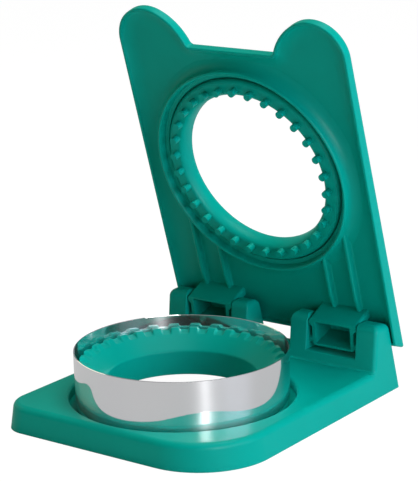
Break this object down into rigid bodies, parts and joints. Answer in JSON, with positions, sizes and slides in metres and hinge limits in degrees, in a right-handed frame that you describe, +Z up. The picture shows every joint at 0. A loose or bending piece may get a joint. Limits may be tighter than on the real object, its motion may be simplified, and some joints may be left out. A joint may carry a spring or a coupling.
{
  "type": "sandwich cutter and sealer",
  "caption": "Hinged kitchen press that cuts a round pocket from sandwich bread with a steel ring and seals its edge between a toothed ring and a pegged lid ring.",
  "frame": {"origin": "on the table, under the middle of the open part's bounding box", "axes": "+Z up, +X along the hinge axis to the right, -Y towards the front edge that faces the user"},
  "size_m": [0.109, 0.127, 0.1569],
  "materials": {
    "teal_plastic": "satin moulded plastic",
    "teal_plastic_rings": "semi-gloss moulded plastic",
    "polished_steel": "mirror-polished stainless steel",
    "bright_pin_steel": "bright drawn",
    "plated_screw_steel": "zinc plated"
  },
  "bodies": {
    "base": {"base_plate": "teal_plastic", "cutter_ring": "polished_steel", "lower_sealing_ring": "teal_plastic_rings", "ring_screw_1": "plated_screw_steel", "ring_screw_2": "plated_screw_steel", "ring_screw_3": "plated_screw_steel", "ring_screw_4": "plated_screw_steel", "hinge_pin_left_inner": "bright_pin_steel", "hinge_pin_left_outer": "bright_pin_steel", "hinge_pin_right_inner": "bright_pin_steel", "hinge_pin_right_outer": "bright_pin_steel"},
    "lid": {"lid_plate": "teal_plastic", "upper_sealing_ring": "teal_plastic_rings"}
  },
  "joints": [
    {"name": "lid_hinge", "type": "hinge", "parent": "base", "child": "lid", "pos_m": [0, 0.04936, 0.027], "axis": [1, 0, 0], "range_deg": [0, 73.5]}
  ]
}
